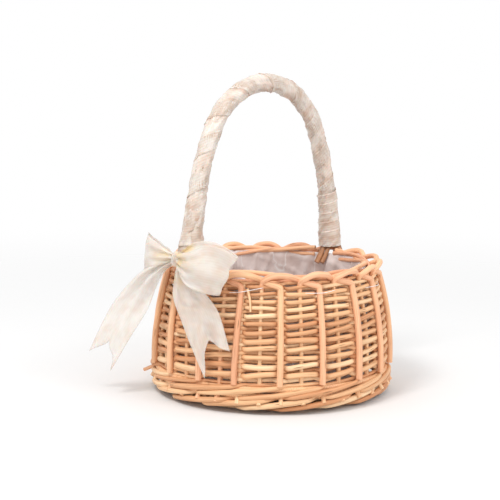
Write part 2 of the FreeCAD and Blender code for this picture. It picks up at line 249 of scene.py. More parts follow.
def satin(name, light, shade, cover=1.0, painted_glow_place=None):
    """Satin ribbon: soft directional gloss, a fine lengthwise rib, faint crush marks in the bump, painted shade in
    the crush creases and, where a place is given, a painted glow of light through the satin.
    """
    material, tree, shader = start_material(name)
    uv = add_node(tree, "ShaderNodeUVMap", uv_map="ribbon").outputs[0]
    across = add_node(tree, "ShaderNodeSeparateXYZ", {0: uv}).outputs[1]
    rib = math_node(tree, "SINE", math_node(tree, "MULTIPLY", across, 2 * pi / 0.0021))
    thread = noise_node(tree, vector_node(tree, "MULTIPLY", uv, (60.0, 1400.0, 1.0)), detail=3.0)
    crush = noise_node(tree, vector_node(tree, "MULTIPLY", uv, (55.0, 90.0, 1.0)), detail=3.0)
    # The crush noise moves the colour from the lit colour to the shade colour: painted shade in the satin's creases.
    painted_crease_shade = math_node(tree, "ADD", crush, math_node(tree, "MULTIPLY", rib, 0.035))
    colour = ramp(tree, painted_crease_shade, [(0.34, shade), (0.62, light)])
    # Painted glow: a warm patch near the given place by the knot stands in for light shining through the satin.
    if painted_glow_place:
        place = object_place(tree)
        away = add_node(tree, "ShaderNodeVectorMath", {0: place, 1: painted_glow_place}, operation="DISTANCE")
        near = spread_out(tree, away.outputs["Value"], {1: 0.030, 2: 0.006, 3: 0.0, 4: 1.0},
                          interpolation_type="SMOOTHSTEP")
        painted_glow_patch = spread_out(tree, noise_node(tree, place, 95.0), {1: 0.42, 2: 0.68, 3: 0.0, 4: 0.9})
        colour = colour_mix(tree, math_node(tree, "MULTIPLY", near, painted_glow_patch), colour, (*linear(PAINTED_GLOW_COLOUR), 1.0))
    tree.links.new(colour, shader.inputs["Base Color"])
    shader.inputs["Alpha"].default_value = cover
    tree.links.new(spread_out(tree, thread, {3: 0.24, 4: 0.42}), shader.inputs["Roughness"])
    shader.inputs["Specular IOR Level"].default_value = 0.55
    shader.inputs["Anisotropic"].default_value = 0.55
    shader.inputs["Sheen Weight"].default_value = 0.15
    shader.inputs["Sheen Roughness"].default_value = 0.4
    shader.inputs["Subsurface Weight"].default_value = 0.12
    shader.inputs["Subsurface Scale"].default_value = 0.002
    height = math_node(tree, "ADD", math_node(tree, "MULTIPLY", rib, 0.10),
                       math_node(tree, "ADD", math_node(tree, "MULTIPLY", thread, 0.35), crush))
    add_bump(tree, shader, height, 0.22, 0.0005)
    return material


def film(name, tint, haze):
    """Thin milky plastic film: partly see-through, glossy, with a fine crinkle and thin painted highlights along
    noise folds.
    """
    material, tree, shader = start_material(name)
    place = object_place(tree)
    crinkle = add_node(tree, "ShaderNodeTexVoronoi", {
        "Vector": vector_node(tree, "MULTIPLY", place, (110.0, 110.0, 70.0)), "Scale": 1.0},
        feature="SMOOTH_F1").outputs["Distance"]
    fine = noise_node(tree, place, 240.0, 4.0)
    cloud = noise_node(tree, place, 55.0, 3.0)
    colour = ramp(tree, cloud, [(0.32, haze), (0.62, tint), (0.8, (0.93, 0.90, 0.92))])
    # Thin near-white lines, where this noise crosses its middle, are painted highlights on the film's folds.
    highlight_crease_noise = noise_node(tree, vector_node(tree, "MULTIPLY", place, (26.0, 26.0, 17.0)), detail=1.0)
    fold = math_node(tree, "ABSOLUTE", math_node(tree, "SUBTRACT", highlight_crease_noise, 0.5))
    line = ramp(tree, fold, [(0.0, (0.8, 0.8, 0.8)), (0.006, (0.25, 0.25, 0.25)), (0.016, (0.0, 0.0, 0.0))])
    tree.links.new(colour_mix(tree, line, colour, (1.0, 0.98, 0.97, 1.0)), shader.inputs["Base Color"])
    shader.inputs["Roughness"].default_value = 0.22
    shader.inputs["Alpha"].default_value = 0.80
    shader.inputs["Specular IOR Level"].default_value = 0.6
    height = math_node(tree, "ADD", math_node(tree, "MULTIPLY", crinkle, 0.35),
                       math_node(tree, "MULTIPLY", fine, 0.3))
    add_bump(tree, shader, height, 0.5, 0.001)
    return material


def clear_thread():
    """Pale sewing thread, unevenly bright."""
    material, tree, shader = start_material("clear_thread")
    speckle = noise_node(tree, object_place(tree), 900.0)
    tree.links.new(ramp(tree, speckle, [(0.3, linear("e9dfe0")), (0.7, linear("ffffff"))]),
                   shader.inputs["Base Color"])
    shader.inputs["Roughness"].default_value = 0.25
    return material


FINISHES = {}


def finish_of(name):
    """The named finish; all are made when the first is asked for."""
    if not FINISHES:
        look = bpy.context.scene.basket_willow
        ribbon = bpy.context.scene.basket_ribbon
        pale, middle, deep = tuple(look.pale), tuple(look.middle), tuple(look.deep)
        orange, russet = tuple(look.orange), tuple(look.russet)
        darker, darkest = (tuple(share * c for c in deep) for share in (0.62, 0.38))
        FINISHES["weaver"] = willow("willow_weaver", pale, middle, deep)
        FINISHES["foot"] = willow("willow_foot", pale, middle, deep)
        FINISHES["upright"] = willow("willow_upright", middle, orange, russet, knots=0.09)
        FINISHES["stake"] = willow("willow_stake", pale, middle, orange)
        FINISHES["plain"] = willow("willow_plain", pale, middle, orange, on_rods=False, knots=0.06)
        FINISHES["handle_rods"] = willow("willow_handle_rods", deep, darker, darkest, on_rods=False, knots=0.12)
        FINISHES["satin_wrap"] = satin("satin_wrap", tuple(ribbon.wrap_light), tuple(ribbon.wrap_shade))
        # The bow's satin gets its painted glow round the knot, at (0, -116, 130) mm.
        FINISHES["satin_bow"] = satin("satin_bow", tuple(ribbon.bow_light), tuple(ribbon.bow_shade), 0.54,
                                      (0.0, -0.116, 0.130))
        FINISHES["film"] = film("crinkled_film", linear("f3e6e2"), linear("dcc8c0"))
        FINISHES["thread"] = clear_thread()
    return FINISHES[name]


def refinish(names, finish):
    """Gives the frame's own solids a finish; they stay where they are."""
    for name in names:
        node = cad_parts[name]
        node.data.materials.clear()
        node.data.materials.append(finish_of(finish))


# ---- rods laid along paths -----------------------------------------------------------------------
def rod_tree():
    """Node group that turns each path into a round rod with its own tone and a slight crookedness."""
    known = bpy.data.node_groups.get("Willow rods")
    if known:
        return known
    tree = bpy.data.node_groups.new("Willow rods", "GeometryNodeTree")
    for name, kind in (("Geometry", "Geometry"), ("Sides", "Int"), ("Crookedness", "Float"),
                       ("Crook spacing", "Float"), ("Seed", "Int"), ("Finish", "Material")):
        tree.interface.new_socket(name, in_out="INPUT", socket_type="NodeSocket" + kind)
    tree.interface.new_socket("Geometry", in_out="OUTPUT", socket_type="NodeSocketGeometry")
    given = tree.nodes.new("NodeGroupInput").outputs
    position = add_node(tree, "GeometryNodeInputPosition").outputs[0]
    spread = math_node(tree, "DIVIDE", 1.0, given["Crook spacing"])
    noise_at = add_node(tree, "ShaderNodeVectorMath", {0: position, "Scale": spread}, operation="SCALE").outputs[0]
    crook = add_node(tree, "ShaderNodeTexNoise", {
        "Vector": noise_at, "W": given["Seed"], "Scale": 1.0, "Detail": 2.0},
        noise_dimensions="4D").outputs["Color"]
    centred = vector_node(tree, "SUBTRACT", crook, (0.5, 0.5, 0.5))
    offset = add_node(tree, "ShaderNodeVectorMath", {0: centred, "Scale": given["Crookedness"]},
                      operation="SCALE").outputs[0]
    moved = add_node(tree, "GeometryNodeSetPosition", {"Geometry": given["Geometry"], "Offset": offset}).outputs[0]
    length = add_node(tree, "GeometryNodeSplineParameter").outputs["Length"]
    marked = add_node(tree, "GeometryNodeStoreNamedAttribute", {
        "Geometry": moved, "Name": "along", "Value": length}, data_type="FLOAT", domain="POINT").outputs[0]
    index = add_node(tree, "GeometryNodeInputIndex").outputs[0]
    chance = add_node(tree, "FunctionNodeRandomValue", {"ID": index, "Seed": given["Seed"]}, data_type="FLOAT")
    per_rod = add_node(tree, "GeometryNodeFieldOnDomain", {0: chance.outputs[1]},
                       data_type="FLOAT", domain="CURVE").outputs[0]
    toned = add_node(tree, "GeometryNodeStoreNamedAttribute", {
        "Geometry": marked, "Name": "tone", "Value": per_rod}, data_type="FLOAT", domain="POINT").outputs[0]
    circle = add_node(tree, "GeometryNodeCurvePrimitiveCircle", {"Resolution": given["Sides"], "Radius": 1.0})
    around = add_node(tree, "GeometryNodeStoreNamedAttribute", {
        "Geometry": circle.outputs[0], "Name": "around", "Value": position},
        data_type="FLOAT_VECTOR", domain="POINT").outputs[0]
    thickness = add_node(tree, "GeometryNodeInputRadius").outputs[0]
    tube = add_node(tree, "GeometryNodeCurveToMesh", {
        "Curve": toned, "Profile Curve": around, "Scale": thickness, "Fill Caps": True}).outputs[0]
    real = add_node(tree, "GeometryNodeRealizeInstances", {0: tube}).outputs[0]
    finished = add_node(tree, "GeometryNodeSetMaterial", {"Geometry": real, "Material": given["Finish"]})
    add_node(tree, "NodeGroupOutput", {"Geometry": finished.outputs[0]})
    return tree


def set_inputs(modifier, values):
    for item in modifier.node_group.interface.items_tree:
        if item.in_out == "INPUT" and item.name in values:
            modifier[item.identifier] = values[item.name]


def lay_rods(name, rods, finish, replaced=(), sides=10, crook=0.0008, spacing=0.03, seed=1):
    """Makes one piece of rods; each rod is a list of (x, y, z, radius) in metres."""
    curve = bpy.data.curves.new(name + "_paths", "CURVE")
    curve.dimensions = "3D"
    for rod in rods:
        spline = curve.splines.new("POLY")
        spline.points.add(len(rod) - 1)
        spline.points.foreach_set("co", [c for x, y, z, _ in rod for c in (x, y, z, 1.0)])
        spline.points.foreach_set("radius", [r for _, _, _, r in rod])
    carrier = bpy.data.objects.new(name + "_paths", curve)
    bpy.context.scene.collection.objects.link(carrier)
    modifier = carrier.modifiers.new("Rods", "NODES")
    modifier.node_group = rod_tree()
    set_inputs(modifier, {"Sides": sides, "Crookedness": crook, "Crook spacing": spacing,
                          "Seed": seed, "Finish": finish_of(finish)})
    graph = bpy.context.evaluated_depsgraph_get()
    mesh = bpy.data.meshes.new_from_object(carrier.evaluated_get(graph))
    carrier.modifiers.remove(modifier)
    bpy.data.objects.remove(carrier)
    bpy.data.curves.remove(curve)
    mesh.name = name
    mesh.polygons.foreach_set("use_smooth", [len(p.vertices) < 5 for p in mesh.polygons])
    return place_piece(name, mesh, finish, replaced)


def place_piece(name, mesh, finish, replaced=()):
    piece = bpy.data.objects.new(name, mesh)
    bpy.context.scene.collection.objects.link(piece)
    mesh.materials.clear()
    mesh.materials.append(finish_of(finish))
    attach(piece, "root")
    if replaced:
        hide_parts(*replaced)
    return piece


def rod_point(place, radius):
    return (place.x, place.y, place.z, radius)


# ---- cloth sheets --------------------------------------------------------------------------------
def sheet_mesh(name, grid, us, vs):
    """A quad sheet from rows of points, with its own ribbon map in metres."""
    rows, columns = len(grid), len(grid[0])
    mesh = bpy.data.meshes.new(name)
    faces = [(i * columns + j, i * columns + j + 1, (i + 1) * columns + j + 1, (i + 1) * columns + j)
             for i in range(rows - 1) for j in range(columns - 1)]
    mesh.from_pydata([tuple(p) for row in grid for p in row], [], faces)
    layer = mesh.uv_layers.new(name="ribbon")
    for loop in mesh.loops:
        row, column = divmod(loop.vertex_index, columns)
        layer.data[loop.index].uv = (us[row], vs[column])
    mesh.polygons.foreach_set("use_smooth", [True] * len(mesh.polygons))
    mesh.update()
    return mesh


def weld(mesh, turn_out=False):
    """Joins points that coincide, and where asked turns every face outward."""
    net = bmesh.new()
    net.from_mesh(mesh)
    bmesh.ops.remove_doubles(net, verts=net.verts, dist=1e-6)
    if turn_out:
        bmesh.ops.recalc_face_normals(net, faces=net.faces)
    net.to_mesh(mesh)
    net.free()


def thicken(piece, thickness):
    """Gives a sheet its body, half on each side."""
    solid = piece.modifiers.new("Cloth body", "SOLIDIFY")
    solid.thickness = thickness
    solid.offset = 0.0
    graph = bpy.context.evaluated_depsgraph_get()
    mesh = bpy.data.meshes.new_from_object(piece.evaluated_get(graph))
    piece.modifiers.clear()
    old = piece.data
    piece.data = mesh
    bpy.data.meshes.remove(old)


def value_noise(x, y, z=0.0):
    return noise.noise(Vector((x, y, z)))


def ribbon_between(stations, per_span, columns, width, pleats, crumple, seed, looped):
    """Grid of points of a ribbon whose two edges pass through the stations (edge, edge) in metres.

    Where the edges come closer than the ribbon is wide, the spare width stands up in pleats."""
    rails = curve_through([(*a, *b) for a, b in stations], per_span)
    rows, travelled = [], [0.0]
    middle = [(r[:3] + r[3:]) / 2 for r in rails]
    for i, rail in enumerate(rails):
        if i:
            travelled.append(travelled[-1] + float(np.linalg.norm(middle[i] - middle[i - 1])))
        a, b = rail[:3], rail[3:]
        side = b - a
        reach = float(np.linalg.norm(side))
        ahead = middle[min(i + 1, len(rails) - 1)] - middle[max(i - 1, 0)]
        normal = np.cross(ahead, side)
        normal /= np.linalg.norm(normal) + 1e-12
        spare = max(0.0, width / max(reach, 1e-6) - 1)
        lift = min(reach / pleats / pi * sqrt(spare) * 1.1, width * 0.11)
        if looped:
            lift *= 1 - 0.85 * smooth_step(min(i, len(rails) - 1 - i) / len(rails) * 2.6)
        row = []
        for j in range(columns):
            v = j / (columns - 1)
            ease = sin(pi * v) ** 0.5
            fold = lift * sin(2 * pi * pleats * v + seed) * ease
            rough = crumple * value_noise(travelled[-1] * 42 + seed, v * 2.6, seed) * (0.12 + ease)
            row.append(a + side * v + normal * (fold + rough))
        rows.append(row)
    return rows, travelled


def ribbon_piece(name, stations, width, pleats, crumple, seed, replaced, per_span=9, columns=25, notch=0.0):
    rows, travelled = ribbon_between(stations, per_span, columns, width, pleats, crumple, seed, not notch)
    if notch:
        cut_tail(rows, travelled, notch)
    vs = [width * j / (columns - 1) for j in range(columns)]
    mesh = sheet_mesh(name, rows, travelled, vs)
    piece = place_piece(name, mesh, "satin_bow", replaced)
    thicken(piece, SATIN_BODY)
    return piece


def cut_tail(rows, travelled, notch):
    """Draws the last stretch of a ribbon back along itself into a swallow-tail."""
    total = travelled[-1]
    middle = (len(rows[0]) - 1) / 2
    rails = np.array(rows)
    for j in range(len(rows[0])):
        back = notch * (1 - abs(j - middle) / middle)
        for i in range(len(rows)):
            want = travelled[i] * (total - back) / total
            k = min(np.searchsorted(travelled, want, "right") - 1, len(rows) - 2)
            span = travelled[k + 1] - travelled[k]
            t = (want - travelled[k]) / span
            rows[i][j] = rails[k, j] * (1 - t) + rails[k + 1, j] * t


# ---- settings ------------------------------------------------------------------------------------
def colour_setting(name, text, default):
    return FloatVectorProperty(name=name, description=text, subtype="COLOR", size=3, min=0, max=1,
                               default=linear(default))


def size_setting(name, text, millimetres):
    return FloatProperty(name=name, description=text, default=millimetres * MM, unit="LENGTH", precision=4)


class WillowSettings(bpy.types.PropertyGroup):
    """Sizes and colours of the willow"""
    pale: colour_setting("Pale willow", "Lightest rods of the weave", "f6d9b2")
    middle: colour_setting("Straw willow", "Usual colour of the weave", "e8b98c")
    deep: colour_setting("Deep willow", "Darkest rods of the weave", "cc9064")
    orange: colour_setting("Peach willow", "Usual colour of uprights and border", "efb992")
    russet: colour_setting("Russet willow", "Darkest uprights and border rods", "dda17c")
    stake_d: size_setting("Stake", "Diameter of the stakes that the weavers pass round", 4.0)
    upright_d: size_setting("Upright", "Diameter of the thick outer rods", 5.3)
    border_d: size_setting("Border rod", "Diameter of the rods that close the top", 5.0)
    hoop_d: size_setting("Inner rod", "Diameter of the long rods inside the border", 4.0)
    weave_crook: size_setting("Weave crookedness", "How far a weaver strays from its row", 1.1)
    seed: IntProperty(name="Seed", description="Changes which rods are dark, thick or crooked", default=7)


class RibbonSettings(bpy.types.PropertyGroup):
    """Sizes and colours of the satin"""
    width: size_setting("Ribbon width", "Width of the satin ribbon", 38.0)
    wrap_pitch: size_setting("Wrap pitch", "How far the handle's ribbon climbs in one turn", 33.0)
    notch: size_setting("Notch", "Depth of the swallow-tail cut", 22.0)
    cloth: size_setting("Satin thickness", "Thickness of the satin", 0.35)
    # The shade colours are painted shade in the satin's crushed creases; the light colours are the satin where it is
    # lit.
    bow_light: colour_setting("Bow satin", "Satin of the bow where it is lit", "eee8e1")
    bow_shade: colour_setting("Bow satin shade", "Crushed places on the bow", "e4d5c8")
    wrap_light: colour_setting("Wrap satin", "Satin round the handle", "dfd2c8")
    wrap_shade: colour_setting("Wrap satin shade", "Crushed places round the handle", "c4a895")


class LinerSettings(bpy.types.PropertyGroup):
    """Sizes of the film bag"""
    slack: size_setting("Slack", "How far the film hangs away from the weave", 4.5)
    film: size_setting("Film", "Thickness of the film with its crinkles", 0.3)
    thread: size_setting("Thread", "Diameter of the thread that holds the bag", 0.5)


# ---- the weave -----------------------------------------------------------------------------------
class BASKET_OT_weave(bpy.types.Operator):
    """Lay the rows of weavers over and under the stakes"""
    bl_idname = "basket.weave"
    bl_label = "Weave"

    plump = 0.24

    def execute(self, context):
        look = context.scene.basket_willow
        for index, (z, thick, outer) in enumerate(ROWS):
            rods = self.row_rods(Random(look.seed * 100 + index), index, z, thick, outer, look)
            if index == len(ROWS) - 1:
                rods += self.row_rods(Random(look.seed), index + 1, z + thick * 1.05, thick,
                                      outer - 0.4 * MM, look)
            lay_rods("willow_row_%02d" % (index + 1), rods, "weaver",
                     ["weaver_row_%02d" % (index + 1)], crook=look.weave_crook, spacing=0.024,
                     seed=index + 1)
        return {"FINISHED"}

    def row_rods(self, chance, index, z, thick, outer, look):
        """Rods of one row, each pieced in behind a thick upright."""
        swing = weave_swing(thick, look.stake_d)
        centre = outer - thick / 2 - swing
        start = STEP * chance.randrange(UPRIGHTS)
        end, rods = start + 360, []
        bends = [chance.uniform(-1, 1) for _ in range(2 * UPRIGHTS)]
        tilts = [chance.uniform(-1, 1) for _ in range(2 * UPRIGHTS)]
        while start < end - 1:
            reach = STEP * chance.randint(4, 7)
            stop = end if end - start - reach < 3 * STEP else start + reach
            rods.append(self.one_rod(chance, index, z, thick, centre, swing, start, stop, bends, tilts))
            start = stop
        return rods

    def one_rod(self, chance, index, z, thick, centre, swing, first, last, bends, tilts):
        """Runs straight in front of one stake or behind it, and changes sides behind the thick uprights."""
        butt_first = chance.random() < 0.5
        size = chance.uniform(0.92, 1.12)
        reach = 2.5
        count = int((last - first + 2 * reach) / STEP * 22)
        points = []
        for i in range(count + 1):
            share = i / count
            angle = first - reach + (last - first + 2 * reach) * share
            bay = int(angle // STEP) % UPRIGHTS
            within = (angle % STEP) / STEP
            off = abs(within - 0.5) * STEP
            front = 1 - 2 * smooth_step((off - 6.4) / 3.4)
            outward = front
            if index % 2 == 0:
                outward = -0.78 * front if front < 0 else -front
            rise = (0.28 + 0.42 * tilts[bay]) * (within - 0.5) * 2 * (1 - smooth_step((off - 7.5) / 2.5))
            height = z + thick * (rise * (0.5 + 0.5 * front) + 0.27 * bends[bay] * sin(pi * within))
            taper = 1.08 - 0.20 * (share if butt_first else 1 - share)
            fat = 1 + self.plump * (1 - smooth_step((off - 6.0) / 3.5))
            radius = thick / 2 * size * taper * fat
            points.append(rod_point(polar(centre + swing * outward, angle + TURN, height), radius))
        return points


# ---- the foot ------------------------------------------------------------------------------------
class BASKET_OT_foot(bpy.types.Operator):
    """Twist the foot wale, whose strokes climb to the right and dive behind one another"""
    bl_idname = "basket.foot"
    bl_label = "Foot wale"

    stroke_degrees = 45.0
    edge_round = 15.0 * MM
    underlap = 2.2

    def execute(self, context):
        look = context.scene.basket_willow
        climb = (FOOT_TOP - FOOT_ROD_D - 0.9 * MM) / (2 * self.stroke_degrees - 4)
        top_z = FOOT_TOP - FOOT_ROD_D / 2 - 0.2 * MM
        for name, tier, replaced in (("wale_upper", 0, ["foot_wale_rod_3", "foot_wale_rod_4", "foot_wale_rod_5"]),
                                     ("wale_lower", 1, ["foot_wale_rod_1", "foot_wale_rod_2"])):
            chance = Random(look.seed + 31 * tier)
            end_shift = 2.0 - tier * (self.stroke_degrees - 4)
            end_z = top_z - tier * climb * (self.stroke_degrees - 4)
            rods = [self.stroke(chance, STEP * k + end_shift, end_z, climb, tier) for k in range(UPRIGHTS)]
            lay_rods(name, rods, "foot", replaced, sides=14, crook=0.9 * MM, spacing=0.03,
                     seed=40 + tier)
        return {"FINISHED"}

    def skin(self, z):
        """Centre-line radius of a rod that lies on the outside of the foot at a height."""
        low = max(0.0, self.edge_round - z)
        inset = self.edge_round - sqrt(max(0.0, self.edge_round ** 2 - low ** 2))
        return FOOT_OUT - FOOT_ROD_D / 2 - inset * 0.85

    def stroke(self, chance, end, end_z, climb, tier):
        """One visible stroke, with its start under the one before it and its end inside the wall."""
        size = chance.uniform(0.78, 0.98)
        sink = chance.uniform(-0.3, 2.1) * MM
        sag = chance.uniform(-1.2, 1.2) * MM
        lead = chance.uniform(-2.0, 2.0)
        start_tail, end_tail = 9.0, 17.0
        points = []
        count = 60
        for i in range(count + 1):
            share = i / count
            angle = end - self.stroke_degrees - start_tail + (self.stroke_degrees + start_tail + end_tail) * share
            behind = end - angle
            z = end_z - climb * min(max(behind, 0), self.stroke_degrees + 2) + sag * sin(pi * share)
            z += 1.2 * MM * smooth_step(-behind / end_tail)
            out = smooth_step((angle - (end - self.stroke_degrees) + 2 + lead) / 9)
            back = smooth_step((end + (2.5 if tier == 0 else -2.0) - angle) / 8)
            depth = sink * sin(pi * share) + (1 - out) * FOOT_ROD_D * 1.6 + (1 - back) * FOOT_ROD_D * 1.15
            taper = 0.58 + 0.42 * smooth_step((share - 0.08) / 0.28)
            taper *= 1 - 0.30 * smooth_step((share - 0.50) / 0.3)
            radius = FOOT_ROD_D / 2 * size * taper
            points.append(rod_point(polar(self.skin(z) - depth, angle + TURN, max(z, radius)), radius))
        return points


# ---- stakes --------------------------------------------------------------------------------------
class BASKET_OT_stakes(bpy.types.Operator):
    """Stand the thin stakes that show and the stakes behind the thick uprights"""
    bl_idname = "basket.stakes"
    bl_label = "Stakes"

    def execute(self, context):
        look = context.scene.basket_willow
        chance = Random(look.seed + 5)
        for name, shift, replaced in (("stakes_between", STEP / 2, "thin_stakes"),
                                      ("stakes_behind", 0, "hidden_stakes")):
            rods = []
            for k in range(UPRIGHTS):
                size = chance.uniform(0.92, 1.10)
                lean = chance.uniform(-0.5, 0.5)
                rods.append([self.stake_point(t / 24, k * STEP + shift, lean, size, look) for t in range(25)])
            lay_rods(name, rods, "stake", [replaced], crook=0.5 * MM, spacing=0.02, seed=60)
        return {"FINISHED"}

    def stake_point(self, share, angle, lean, size, look):
        """A stake leaves the foot between two wale strokes and stands inside the weave above it."""
        low = FOOT_ROD_D * 1.7
        z = low + (STAKE_TOP - low) * share
        radius = stake_line(z, look.stake_d)
        radius += (FOOT_OUT - FOOT_ROD_D * 0.45 - radius) * (1 - smooth_step((z - 10 * MM) / (8 * MM)))
        return rod_point(polar(radius, angle + TURN + lean * sin(pi * share), z),
                         look.stake_d / 2 * size * (1.04 - 0.1 * share))


# ---- border --------------------------------------------------------------------------------------
class BASKET_OT_border(bpy.types.Operator):
    """Bend each border rod over the top and down the outside as a thick upright"""
    bl_idname = "basket.border"
    bl_label = "Border and uprights"

    def execute(self, context):
        look = context.scene.basket_willow
        chance = Random(look.seed + 9)
        rods = [self.border_rod(chance, STEP * (k + 0.5), look) for k in range(UPRIGHTS)]
        lay_rods("border_rods_and_uprights", rods, "upright",
                 ["border_rods", "outer_uprights"], sides=14, crook=0.8 * MM, spacing=0.03, seed=80)
        lay_rods("border_inner_rods", self.inner_rods(look), "upright",
                 ["border_hoops"], sides=12, crook=1.2 * MM, spacing=0.05, seed=90)
        return {"FINISHED"}

    def upright_line(self, z, look):
        return weave_face(z) + look.upright_d / 2 - 1.0 * MM

    def border_rod(self, chance, start, look):
        """Up from its stake, over the border, under the next rod, then sharply down the wall."""
        top = BORDER_TOP - look.border_d / 2
        line = stake_line(STAKE_TOP, look.stake_d)
        jump = chance.uniform(-0.7, 0.7) * MM
        shift = chance.uniform(-1.3, 0.9)
        wall = self.upright_line(top - 12 * MM, look)
        over = [(0.0, line, STAKE_TOP - 6 * MM),
                (0.2, line + 1.2 * MM, STAKE_TOP + 1.5 * MM),
                (2.0, line + 4.2 * MM, top - 3.4 * MM),
                (7.0, line + 6.0 * MM, top + jump * 0.2),
                (13.5, line + 4.4 * MM, top - 0.8 * MM),
                (19.0, line - 1.4 * MM, top - 4.6 * MM),
                (23.5, line + 3.2 * MM, top - 7.2 * MM),
                (28.0 + shift, wall - 1.2 * MM, top - 9.2 * MM),
                (29.5 + shift, wall - 0.2 * MM, top - 10.2 * MM)]
        down = []
        low = FOOT_TOP - 1.5 * MM
        lean = chance.uniform(-1.5, 0.9)
        high = top - 12.2 * MM
        for i in range(8):
            z = high - (high - low) * i / 7
            down.append((30.0 + shift + (lean - shift) * smooth_step(i / 7), self.upright_line(z, look), z))
        size = chance.uniform(0.93, 1.07)
        path = curve_through(over + down, 7)
        points = []
        for i, (turn, radius, z) in enumerate(path):
            share = i / (len(path) - 1)
            thick = look.stake_d * 1.1 + (look.border_d - look.stake_d * 1.1) * smooth_step(share / 0.2)
            thick += (look.upright_d * 1.03 - look.border_d) * smooth_step((share - 0.4) / 0.5)
            points.append(rod_point(polar(radius, start + TURN + turn, z), thick / 2 * size))
        return points

    def inner_rods(self, look):
        """Three strands twisted round one another, in two halves that stop at the handle's legs."""
        rods = []
        line = stake_line(STAKE_TOP, look.stake_d)
        for side in (0, 180):
            gap = LEG_ANGLE - 7.5 if side == 0 else 180 - LEG_ANGLE - 7.5
            for strand, phase in enumerate((0.0, 2 * pi / 3, 4 * pi / 3)):
                points = []
                for i in range(91):
                    angle = side - gap + 2 * gap * i / 90
                    twist = radians(angle * 4.5) + phase
                    radius = line - 5.4 * MM + 1.9 * MM * cos(twist)
                    z = STAKE_TOP + (6.4 - 1.6 * strand) * MM + 2.6 * MM * sin(twist)
                    points.append(rod_point(polar(radius, angle, z), look.hoop_d / 2 * (1.0 - 0.08 * strand)))
                rods.append(points)
        return rods


# ---- handle --------------------------------------------------------------------------------------
class Hoop:
    """The handle's centre line, from the -Y foot over the top to the +Y foot."""

    def __init__(self, foot_z):
        crown = 74.0 * MM
        spring_z = STAKE_TOP + 3.1 * MM
        rise = HOOP_TOP - spring_z - crown
        haunch = (HALF_SPAN ** 2 + rise ** 2 - crown ** 2) / (2 * (HALF_SPAN - crown))
        lean = atan2(haunch - HALF_SPAN, rise)
        points = []
        start = asin((foot_z - spring_z) / haunch)
        for i in range(80):
            turn = start + (pi / 2 - lean - start) * i / 80
            points.append((-(HALF_SPAN - haunch + haunch * cos(turn)), spring_z + haunch * sin(turn)))
        for i in range(121):
            turn = -lean + 2 * lean * i / 120
            points.append((crown * sin(turn), spring_z + rise + crown * cos(turn)))
        points += [(-y, z) for y, z in reversed(points[:80])]
        self.points = np.array([(HOOP_X, y, z) for y, z in points])
        steps = np.linalg.norm(np.diff(self.points, axis=0), axis=1)
        self.run = np.concatenate([[0.0], np.cumsum(steps)])
        self.length = float(self.run[-1])

    def place(self, s):
        return np.array([np.interp(s, self.run, self.points[:, k]) for k in range(3)])

    def at(self, s):
        """Place, outward direction and sideways direction at a distance along the hoop."""
        s = min(max(s, 0.0), self.length)
        place = self.place(s)
        forward = self.place(min(s + 0.002, self.length)) - self.place(max(s - 0.002, 0))
        forward = forward / np.linalg.norm(forward)
        side = np.array((1.0, 0.0, 0.0))
        return place, np.cross(side, forward), side


